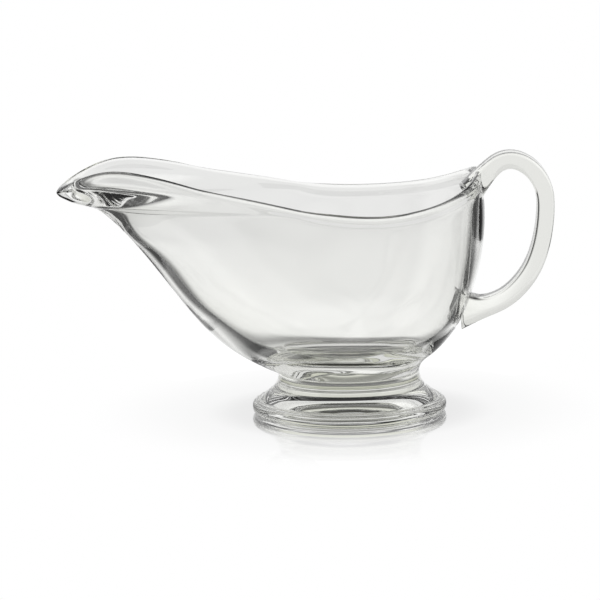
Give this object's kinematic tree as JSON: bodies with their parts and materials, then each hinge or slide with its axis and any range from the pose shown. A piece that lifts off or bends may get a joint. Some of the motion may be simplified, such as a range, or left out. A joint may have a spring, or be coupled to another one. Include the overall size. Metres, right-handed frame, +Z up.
{
  "type": "gravy boat",
  "caption": "Clear glass gravy boat: a tapered bowl drawn out into a pouring spout, on a round flanged foot, with a strap handle opposite the spout.",
  "frame": {"origin": "centre of the foot's resting ring, on the table", "axes": "+Z up, spout towards -X, handle towards +X, Y across the boat"},
  "size_m": [0.216, 0.092, 0.1138],
  "materials": {
    "clear_glass": "fire-polished, clear, faintly green-yellow where thick"
  },
  "bodies": {
    "root": {"bowl": "clear_glass", "foot": "clear_glass", "handle": "clear_glass"}
  },
  "joints": []
}
